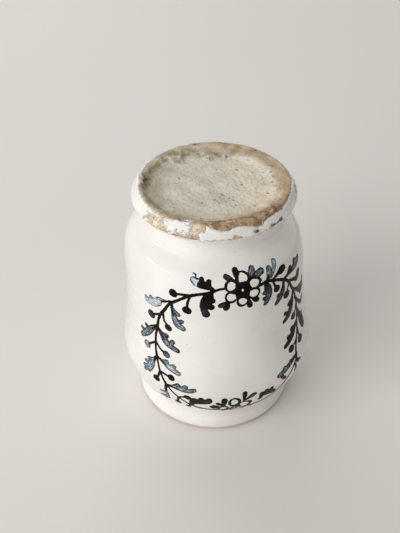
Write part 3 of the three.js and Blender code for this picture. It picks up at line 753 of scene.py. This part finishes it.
RIGHT_STEM = [
    (22, 98.2, .75), (24.9, 98.6, .9), (27.1, 98.8, 1), (29.8, 97.8, .8), (33.7, 96.4, .8),
    (36.6, 94.9, .85), (39.4, 93, .85), (41.4, 90.2, .85), (43.4, 86.6, .85), (44.8, 84.2, .9),
    (46.2, 81.5, .85), (47.5, 77.5, .85), (48.5, 72.7, .9), (48.7, 68, .85), (48.3, 63.5, .9),
    (47.6, 58.5, .9), (46.4, 54, .85), (44.7, 50.5, .8), (43.7, 46.5, .8), (43.3, 42, .85),
    (41, 38.9, .7), (38.3, 34.6, .75), (34.8, 29.5, .8), (30.5, 25.8, .8), (26, 23.9, .8),
    (14, 22.8, .8),
]
# Leaves: the spine as (across, up, half width), the lobes as (across, up, half width), the tone
# at foot and tip, from 0 for black to 1 for pale blue and more for a near white that paints a
# reflection of light in the glaze, how far along the wash begins, and how far the dark line from the
# stem runs along the spine.
LEAVES = [
    ([(-0.6, 99.8, .8), (-3.4, 101.3, 1.6), (-6.2, 102.1, 2), (-8, 102.5, 1.7)],
     [(-2.75, 103.4, 1.25), (-6.45, 104.2, 1.25)], 0, .12, .5, 0),
    # The pale tip of the first leaf: its near-white tone paints a reflection of light in the glaze.
    ([(-8.9, 102.8, 1.95), (-10.7, 103.8, 1.45)], [], 1.35, 1.15, 0, 0),
    ([(-21.4, 90, .7), (-26.5, 88.1, .65), (-29.4, 86.2, 2.4), (-33, 84.2, 2.4), (-36.5, 83.9, 1.75)],
     [(-28.4, 88.5, 1.35), (-33.4, 86.9, 1.35), (-37.1, 85, 1.25)], .3, 1, .05, .28),
    ([(-31, 70.6, .8), (-33.8, 67.8, 1.6), (-36.4, 64.5, 2.1), (-38.8, 61.5, 1.9), (-41.4, 59, 1.4)],
     [(-38, 67, 1.2), (-41.3, 63.3, 1.2)], .25, .5, .2, .3),
    ([(-31.3, 51.4, .7), (-32.8, 48.2, 1.3), (-34, 44.8, 2.1), (-35.4, 41.6, 2)],
     [(-36, 47.5, .95), (-37.7, 44.9, .95), (-38.2, 42, 1), (-37.4, 39.9, 1)], .4, .8, 0, .4),
    ([(-24.9, 37, .8), (-25.4, 32.5, .9), (-25.1, 29, 1), (-25, 25.6, 1)],
     [(-28.3, 29.6, 1), (-28.9, 25.6, 1.05), (-26.8, 24.6, .9)], .2, .7, .1, .45),
    ([(-1.6, 98.2, 1), (-3.3, 95.1, 2.7), (-4.8, 91.6, 2.4), (-5.1, 88.8, 1.8), (-4.4, 86.2, 1.95)],
     [(-1.3, 94.2, 1.65), (-1.9, 90.6, 1.75)], 0, .18, .45, 0),
    ([(-21.1, 89, .8), (-20.9, 84.6, .9), (-20, 80, 1.7), (-18.6, 76.8, 1.95), (-16.1, 75.2, 1.6)],
     [(-18.1, 83, 1.25), (-16.5, 79.4, 1.25)], .35, .65, 0, .42),
    ([(-30.2, 70.3, .8), (-27.6, 66.8, 1.7), (-25.3, 63.4, 2.1), (-22.5, 61.6, 1.7), (-19.5, 60.6, 1.5)],
     [(-25.1, 67.4, 1.4), (-21.9, 64.9, 1.4)], .25, .5, .1, .4),
    ([(-30.2, 51.9, .6), (-26.4, 50.3, 1.3), (-23.2, 48.8, 1.8), (-18.8, 47.1, 1.4)],
     [(-25, 51.5, 1.3), (-21.2, 50.3, 1.4)], .5, .85, 0, .5),
    ([(-24, 37.7, .6), (-20.5, 38, 1.2), (-16.5, 38, 1.75), (-13.2, 38.1, 1.5), (-11, 39.2, 1.25)],
     [(-18.6, 39.9, 1.3), (-15, 40.1, 1.3)], .35, .65, 0, .4),
    ([(-12.7, 26.2, .9), (-11.5, 29.3, 2.1), (-8.4, 30.7, 2.6), (-5.2, 31.3, 2.3), (-4, 32.5, 1.4)],
     [(-11, 32.3, 1.2), (-7.7, 33.5, 1.25), (-4.1, 33.5, 1.3)], 0, .2, .3, 0),
    ([(25.5, 98.2, .8), (26.6, 95.2, 2.1), (27, 91.8, 2.1), (26.1, 88.7, 1.7), (25, 86.8, 1.15)],
     [(24.4, 93.2, 1.1), (24.3, 90, 1.05)], .12, .36, .2, .2),
    ([(37, 94.8, .7), (36.6, 91.5, 1.2), (35.9, 88.5, 1.8), (34.3, 85.9, 1.9), (31.8, 83.5, 1.25)],
     [(33, 87.5, 1.2)], .05, .3, .3, .3),
    ([(44.7, 82.8, .8), (44, 78, 1.5), (42.5, 74, 2.1), (40.3, 70.9, 1.9), (37, 69, 1.3)],
     [(40.9, 77.3, 1.3), (37.9, 73.3, 1.25)], .05, .2, .3, 0),
    ([(47.3, 62.3, .8), (44.8, 60, 1.8), (42.2, 57, 2.1), (39.2, 54.8, 1.7), (36.3, 53.5, 1.3)],
     [(42.5, 60.7, 1.5), (39.3, 57.3, 1.5)], 0, .08, .5, 0),
    ([(43.2, 44, .9), (40.5, 42.9, 1.3), (37.5, 41.6, 1.6), (34, 40.3, 1.8), (30.2, 39.4, 1.3)],
     [(38.3, 43, 1.2), (34, 41.8, 1.2)], .1, .5, .25, .4),
    ([(31.6, 38.8, .9), (32.8, 36.6, 1.1), (34.7, 34.2, 1)], [], .4, .25, .3, 0),
    ([(30, 26.6, .8), (27.2, 29.4, 2), (24, 30.4, 2.1), (21.2, 30.6, 1.5)],
     [(26.4, 33, 1.3), (23.4, 33.2, 1.3), (20.9, 32.5, 1.2), (20.9, 27.3, 1.3)], 0, .06, .5, 0),
    ([(26.7, 99, .8), (28.2, 101.5, 1.4), (29.1, 103.8, 1.7)], [], .3, .6, .1, .5),
    ([(29.2, 100, .8), (31.9, 102.9, 1.1), (33.8, 105.4, 1.45)], [], .5, .9, 0, 0),
    ([(30, 98.1, .7), (33.8, 99.7, 1), (36.3, 100.3, 1.95), (37.9, 100.6, 1.75)], [], 0, .15, .5, 0),
    ([(38.1, 95.2, .7), (41.5, 95.7, .9), (45.5, 96.3, 1.7), (49.3, 97.1, 2.1), (52, 98.5, 1.3)],
     [(43, 97.9, 1.4), (47.7, 99, 1.6)], .1, .45, .3, .3),
    ([(45, 84, .9), (49, 81.2, 1.2), (53, 78.9, 2.3), (56.4, 77.8, 2.9)],
     [(58, 81, 1.9), (54.8, 75.8, 1.7)], 0, .1, .5, 0),
    ([(48.5, 69, .9), (50.3, 65.5, 1.3), (52, 61.3, 2), (53.9, 57.2, 2.8), (55.2, 54.2, 2.3)],
     [(55, 61.6, 1.3)], 0, .1, .5, 0),
    ([(46.9, 77.6, .9), (50.4, 73, .9), (52.8, 70.3, 1.15), (54.7, 69.2, 1.4), (56.6, 70.9, 1.2)],
     [], 0, .05, .5, 0),
    ([(40.6, 91.7, .9), (44.5, 90.3, 1), (47.4, 88.9, 1.3), (49.6, 88.4, 2.3), (50.6, 90.7, 2.2)],
     [], 0, .05, .5, 0),
    ([(43.2, 40.4, .9), (44.6, 38.9, 1.3), (46.2, 38.3, 1)], [], 0, .2, .3, 0),
    ([(42.2, 38.2, .6), (43, 35.2, 1), (43.6, 32.4, 1.1)], [], .1, .35, .2, 0),
]
# Thin dark lines drawn over a leaf.
CURLS = [[(-7.9, 104.2, .35), (-9.5, 104.7, .3), (-9.5, 105.5, .35), (-10.9, 105.9, .3)]]
# Buds: the stalk's foot, the bud as (across, up, radius), how far the stalk bows, and the tone.
BUDS = [
    ((-10.5, 96.3), (-20, 95.2, 2.2), 0, .05), ((-12, 94.8), (-13.4, 87.1, 2.35), .05, 0),
    ((-27.8, 79.5), (-34, 76.1, 2.4), 0, .22), ((-26.4, 81), (-23.8, 72.9, 2), .13, .1),
    ((-32, 60), (-37.3, 55.5, 2.2), 0, .85), ((-31.4, 60.3), (-25.3, 55.8, 2), .1, .45),
    ((-28.5, 44.2), (-30.2, 38.4, 2), -.04, .12), ((-28.2, 44.1), (-22.2, 43.1, 1.8), 0, .1),
    ((-19, 30), (-19.7, 24.9, 1.6), .04, .08), ((-18.8, 30.2), (-14.2, 32.4, 1.95), -.1, .06),
    ((-13.2, 25.8), (-14.5, 23.1, 1.3), 0, .05),
    ((29.9, 97.6), (32.2, 92.2, 2.05), .04, .08), ((41.4, 90.4), (39.3, 84.6, 2.5), .08, 0),
    ((48, 73.5), (44.8, 67.1, 2.25), -.1, 0), ((45.6, 52.8), (40.4, 49.5, 2.25), -.05, 0),
    ((47.8, 57.5), (49, 49.6, 2.5), .03, 0),
]
# Flowers: the centre and its radius, the half width of the petals' outline, the petals as
# (across, up, half width, half height), and small leaves as (foot, tip, half width, tone).
FLOWERS = [
    ((13.4, 98.2, 4.2), 0.58,
     [(13.8, 103.4, 3.2, 2.6), (19.6, 100.3, 3.15, 2.4), (18.9, 95.3, 2.95, 2.5),
      (13.2, 92.3, 2.6, 2.4), (7.8, 95.4, 2.8, 2.6), (8, 100.9, 2.85, 2.4)],
     [((11.6, 103), (10.9, 106.6), 1.7, .1), ((10, 102.9), (5.6, 105.1), 1.4, .22),
      ((16.9, 102.2), (19.9, 106), 1.75, .5), ((17.3, 102.6), (24.5, 104.3), 1.7, .45),
      ((17.6, 93.6), (20.2, 91.3), 1.55, 0), ((16, 93), (16.7, 89), 1.45, 0),
      ((7.3, 93.3), (2.6, 91.3), 1.4, .2), ((6.6, 93.2), (5.1, 89.6), 1.5, .12)]),
    ((8.3, 24.2, 1.9), 0.72,
     [(7.7, 30.2, 2.4, 3.4), (12.9, 26.4, 3, 2.9), (2.7, 24.5, 2.35, 1.95),
      (15.2, 21, 2.2, 2), (5.2, 19.6, 2.3, 2), (10.6, 19, 2.3, 2)],
     [((12.3, 30.2), (12.2, 37), 1.15, .12), ((12.9, 30.6), (16.8, 34.2), 1.45, .25),
      ((3, 27), (2.9, 33.4), 1.45, 0), ((2.4, 27.4), (-0.1, 29.9), 1.1, 0),
      ((0.6, 25.4), (-1.9, 26.4), 2, 0)]),
]
STALK_HALF = 0.64
PAINT_STEP = 0.24
# The paint stands off the glaze by PAINT_EDGE at its edge and by PAINT_LIFT more inside it, and
# its lower face lies PAINT_LIFT under the glaze.
PAINT_EDGE, PAINT_LIFT = 0.012, 0.05
PAINT_BOX = ((-46.0, 61.0), (16.0, 114.0))
# Above this height the painted side is counted along the wall.
BEND = 96.0
ACROSS_RADIUS = 45.0


def up_wall(up):
    """Heights, counted along the wall instead where it bends inward above BEND."""
    return np.where(up > BEND, BEND + OUTER.at_height(up) - OUTER.at_height(BEND), up)


class Brush:
    """Strokes laid on a flat grid as depths, positive inside the paint."""

    def __init__(self):
        (self.left, right), (self.low, high) = PAINT_BOX
        self.across = np.arange(self.left, right, PAINT_STEP)
        self.up = np.arange(self.low, high, PAINT_STEP)
        shape = (len(self.across), len(self.up))
        self.field = np.full(shape, -2.0)
        self.tone = np.zeros(shape)
        self.beside = np.zeros(shape)

    def window(self, points, reach):
        lo = points[:, :2].min(0) - reach
        hi = points[:, :2].max(0) + reach
        i = slice(*np.searchsorted(self.across, (lo[0], hi[0])))
        j = slice(*np.searchsorted(self.up, (lo[1], hi[1])))
        return i, j, *np.meshgrid(self.across[i], self.up[j], indexing="ij")

    def lay(self, i, j, depth, tone, beside=0.0, on_top=False):
        if on_top:
            cover = smooth(depth, -0.15, 0.35)
            self.tone[i, j] = self.tone[i, j] * (1 - cover) + tone * cover
        else:
            over = depth > self.field[i, j]
            self.tone[i, j] = np.where(over, tone, self.tone[i, j])
            self.beside[i, j] = np.where(over, beside, self.beside[i, j])
        self.field[i, j] = np.maximum(self.field[i, j], depth)

    def stroke(self, points, tones, begin=0.0, on_top=False):
        """A stroke through (across, up, half width), from one tone to another."""
        points = np.array(points, float)
        points[:, 1] = up_wall(points[:, 1])
        if len(points) > 2:
            points = natural_curve(points, np.linspace(0, len(points) - 1, len(points) * 6))
        i, j, x, y = self.window(points, 3.5)
        count = len(points) - 1
        for k in range(count):
            (ax, ay, ar), (bx, by, br) = points[k], points[k + 1]
            dx, dy = bx - ax, by - ay
            length = max(math.hypot(dx, dy), 1e-6)
            share = np.clip(((x - ax) * dx + (y - ay) * dy) / length**2, 0, 1)
            away = np.hypot(x - ax - share * dx, y - ay - share * dy)
            beside = ((x - ax) * dy - (y - ay) * dx) / length
            wash = smooth((k + share) / count, begin - 0.2, begin + 0.45)
            self.lay(i, j, ar + (br - ar) * share - away,
                     tones[0] + (tones[1] - tones[0]) * wash, beside, on_top)

    def ring(self, cx, cy, wide, high, half):
        low, top = up_wall(np.array([cy - high, cy + high]))
        cy, high = (low + top) / 2, (top - low) / 2
        i, j, x, y = self.window(np.array([[cx, cy, 0.0]]), max(wide, high) + 3)
        x, y = (x - cx) / wide, (y - cy) / high
        turn = np.arctan2(y, x)
        wobble = 0.05 * np.sin(3 * turn + cx)
        half = half * (1 + 0.22 * np.sin(2 * turn + 1.7 * cy))
        self.lay(i, j, half - np.abs(np.hypot(x, y) - 1 - wobble) * (wide + high) / 2, 0.0)

    def scratch(self, cx, cy, radius):
        """Leaves a small bare spot."""
        cy = float(up_wall(cy))
        i, j, x, y = self.window(np.array([[cx, cy, 0.0]]), radius + 3)
        self.field[i, j] = np.minimum(self.field[i, j], np.hypot(x - cx, (y - cy) * 0.7) - radius)


def natural_curve(points, t):
    """A smooth curve through evenly counted points, read at t."""
    p = np.concatenate([[2 * points[0] - points[1]], points, [2 * points[-1] - points[-2]]])
    i = np.minimum(np.floor(t).astype(int), len(points) - 2)
    f = (t - i)[:, None]
    a, b, c, d = p[i], p[i + 1], p[i + 2], p[i + 3]
    return 0.5 * (2 * b + (c - a) * f + (2 * a - 5 * b + 4 * c - d) * f**2
                  + (3 * b - a - 3 * c + d) * f**3)


def paint_leaf(brush, spine, lobes, foot, tip, begin, root):
    brush.stroke(spine, (foot, tip), begin)
    line = np.array(spine)
    side = 0.0
    for a, u, half in lobes:
        near = np.argmin(np.hypot(line[1:, 0] - a, line[1:, 1] - u)) + 1
        share = near / (len(line) - 1)
        start = line[near] * 0.7 + line[near - 1] * 0.3
        tone = foot + (tip - foot) * float(smooth(np.float64(share), begin - 0.2, begin + 0.45))
        brush.stroke([(start[0], start[1], 1.0), (a, u, half)], (tone, tone * 0.85))
        along = line[near, :2] - line[near - 1, :2]
        side += np.sign(along[0] * (u - start[1]) - along[1] * (a - start[0]))
    if root:
        line = natural_curve(line, np.linspace(0, root * (len(line) - 1), 8))
        along = np.gradient(line[:, :2], axis=0)
        along /= np.hypot(along[:, :1], along[:, 1:])
        away = np.sign(side) * 0.5 * np.maximum(line[:, 2:] - 0.7, 0)
        place = line[:, :2] + away * np.stack([along[:, 1], -along[:, 0]], -1)
        half = STALK_HALF * np.linspace(1, 0.5, len(place))
        brush.stroke(np.column_stack([place, half]), (0.0, 0.1), on_top=True)


def paint_wreath(brush):
    for line in (LEFT_STEM, RIGHT_STEM):
        brush.stroke(line, (0.0, 0.04))
    for leaf in LEAVES:
        paint_leaf(brush, *leaf)
    for line in CURLS:
        brush.stroke(line, (0.0, 0.0), on_top=True)
    for (fa, fu), (a, u, radius), bow, tone in BUDS:
        middle = ((fa + a) / 2 + bow * (u - fu), (fu + u) / 2 - bow * (a - fa), STALK_HALF)
        bud = [(a - 0.15, u + 0.1, radius * 0.98), (a + 0.2, u - 0.15, radius * 0.9)]
        brush.stroke(bud, (tone, tone))
        near = (fa + (a - fa) * 0.85, fu + (u - fu) * 0.85, STALK_HALF)
        brush.stroke([(fa, fu, STALK_HALF), middle, near], (0.0, tone * 0.3), on_top=True)
    for (cx, cy, disc), line, petals, small in FLOWERS:
        for (fa, fu), (ta, tu), half, tone in small:
            brush.stroke([(fa + (ta - fa) * t, fu + (tu - fu) * t, wide) for t, wide in
                          ((0, STALK_HALF), (0.35, 0.6 * half + 0.1), (0.7, half), (1, 0.98 * half))],
                         (0.0, tone), 0.3)
        middle = [(cx - 0.2, cy - 0.17 * disc, disc), (cx, cy + 0.17 * disc, disc)]
        brush.stroke(middle, (0.0, 0.0))
        for px, py, wide, high in petals:
            brush.scratch(px, py, min(wide, high) * 0.75)
            brush.ring(px, py, wide, high, line)
        brush.stroke(middle, (0.0, 0.0))
        brush.scratch(cx, cy, 0.5)


def painted_wreath():
    brush = Brush()
    paint_wreath(brush)
    across, up = np.meshgrid(brush.across, brush.up, indexing="ij")
    flat = np.stack([across, up, np.zeros_like(up)], -1)
    field = brush.field + 0.03 + 0.07 * lumps(flat, 1.5, 71, 3)
    hairs = np.sin(2 * np.pi * brush.beside / 0.8 + 2.5 * lumps(flat, 3.0, 72, 2))
    pool = smooth(field, 0.25, 1.0) - 0.55
    washed = smooth(brush.tone, 0.1, 0.35)
    tone = brush.tone + washed * (0.32 * hairs + 0.5 * pool + 0.18 * lumps(flat, 2.6, 73, 2))
    spots, faces = outlined(field, False)
    depth = np.maximum(grid_value(field, spots, False), 0)
    a = brush.left + spots[:, 0] * PAINT_STEP
    u = brush.low + spots[:, 1] * PAINT_STEP
    angle = a / ACROSS_RADIUS
    s = np.where(u > BEND, OUTER.at_height(BEND) + u - BEND, OUTER.at_height(u))
    under = ripples(angle, s)
    top = on_line(OUTER, angle, s, under + PAINT_EDGE + PAINT_LIFT * smooth(depth, 0, 0.5))
    bottom = on_line(OUTER, angle, s, under - PAINT_LIFT)
    count = len(top)
    lower = np.where(depth <= 0, np.arange(count), np.arange(count) + count)
    faces = faces + [tuple(int(lower[k]) for k in reversed(face)) for face in faces]
    used = np.zeros(2 * count, bool)
    used[np.concatenate([np.asarray(face) for face in faces])] = True
    renumber = np.cumsum(used) - 1
    faces = [tuple(int(renumber[k]) for k in face) for face in faces]
    tones = np.tile(np.clip(grid_value(tone, spots, False), 0, 1.5), 2)[used]
    obj = make_mesh("painted_wreath_strokes", np.concatenate([top, bottom])[used], faces,
                    {"tone": tones}, PAINT)
    add_piece(obj, "painted_wreath")


# Build.

outer_glaze()
clay_body()
inner_glaze()
painted_wreath()

# Floor, light, camera.


FLOOR_HALF = 3.0
# Lamps: name, place, size, power, and whether the glaze mirrors it.
LAMPS = [
    ("key", (-1.24, -1.08, 0.80), (1.4, 1.4), 21.8, False),
    ("strip", (-1.36, -0.32, 0.80), (1.2, 0.12), 2.4, True),
    ("back", (-0.3, 1.0, 0.9), (1.2, 0.6), 4.0, True),
]
LAMP_TARGET = (0, 0, 0.06)
# The sky's colour and strength, as it lights the scene and as it is seen and mirrored.
SKY_LIGHT = (1.0, 0.985, 0.965, 1), 0.34
SKY_SEEN = (1, 1, 1, 1), 1.0
# The camera, in metres, millimetres of lens and degrees. It is fitted to the jar's outline at a
# focal length that was chosen.
CAMERA_PLACE = (-0.00854, -0.31293, 0.33339)
CAMERA_LENS, CAMERA_SENSOR = 54.03, 36.0
CAMERA_DOWN, CAMERA_ROLL = 39.149, -0.381


def floor():
    corners = FLOOR_HALF * np.array([(-1, -1, 0), (1, -1, 0), (1, 1, 0), (-1, 1, 0)])
    obj = make_mesh("floor", corners / MM, [(0, 1, 2, 3)], {}, floor_material())


def area_light(name, place, size, power, mirrored):
    lamp = bpy.data.lights.new(name, "AREA")
    lamp.shape = "RECTANGLE"
    lamp.size, lamp.size_y = size
    lamp.energy = power
    obj = bpy.data.objects.new(name, lamp)
    bpy.context.scene.collection.objects.link(obj)
    obj.location = place
    obj.visible_glossy = mirrored
    aim = Vector(LAMP_TARGET) - Vector(place)
    obj.rotation_mode = "QUATERNION"
    obj.rotation_quaternion = aim.to_track_quat("-Z", "Y")


def world_light():
    world = bpy.data.worlds.new("studio")
    bpy.context.scene.world = world
    world.use_nodes = True
    tree = world.node_tree
    tree.nodes.clear()
    rays = add_node(tree, "ShaderNodeLightPath").outputs
    share = rays["Is Camera Ray"]
    for name in ("Is Glossy Ray", "Is Transmission Ray"):
        both = {0: share, 1: rays[name]}
        share = add_node(tree, "ShaderNodeMath", both, operation="MAXIMUM").outputs[0]
    light, seen = [
        add_node(tree, "ShaderNodeBackground", {"Color": colour, "Strength": strength}).outputs[0]
        for colour, strength in (SKY_LIGHT, SKY_SEEN)]
    mixed = add_node(tree, "ShaderNodeMixShader", {"Fac": share, 1: light, 2: seen})
    add_node(tree, "ShaderNodeOutputWorld", {"Surface": mixed.outputs[0]})


def camera():
    data = bpy.data.cameras.new("camera")
    data.sensor_width, data.lens = CAMERA_SENSOR, CAMERA_LENS
    data.clip_start, data.clip_end = 0.01, 20.0
    obj = bpy.data.objects.new("camera", data)
    bpy.context.scene.collection.objects.link(obj)
    down, roll = math.radians(CAMERA_DOWN), math.radians(CAMERA_ROLL)
    level, upright = Vector((1, 0, 0)), Vector((0, math.sin(down), math.cos(down)))
    forward = Vector((0, math.cos(down), -math.sin(down)))
    right = level * math.cos(roll) + upright * math.sin(roll)
    up = upright * math.cos(roll) - level * math.sin(roll)
    turn = Matrix((right, up, -forward)).transposed().to_4x4()
    obj.matrix_world = Matrix.Translation(CAMERA_PLACE) @ turn
    bpy.context.scene.camera = obj


floor()
for lamp in LAMPS:
    area_light(*lamp)
world_light()
camera()

bpy.context.scene.view_settings.view_transform = "Standard"
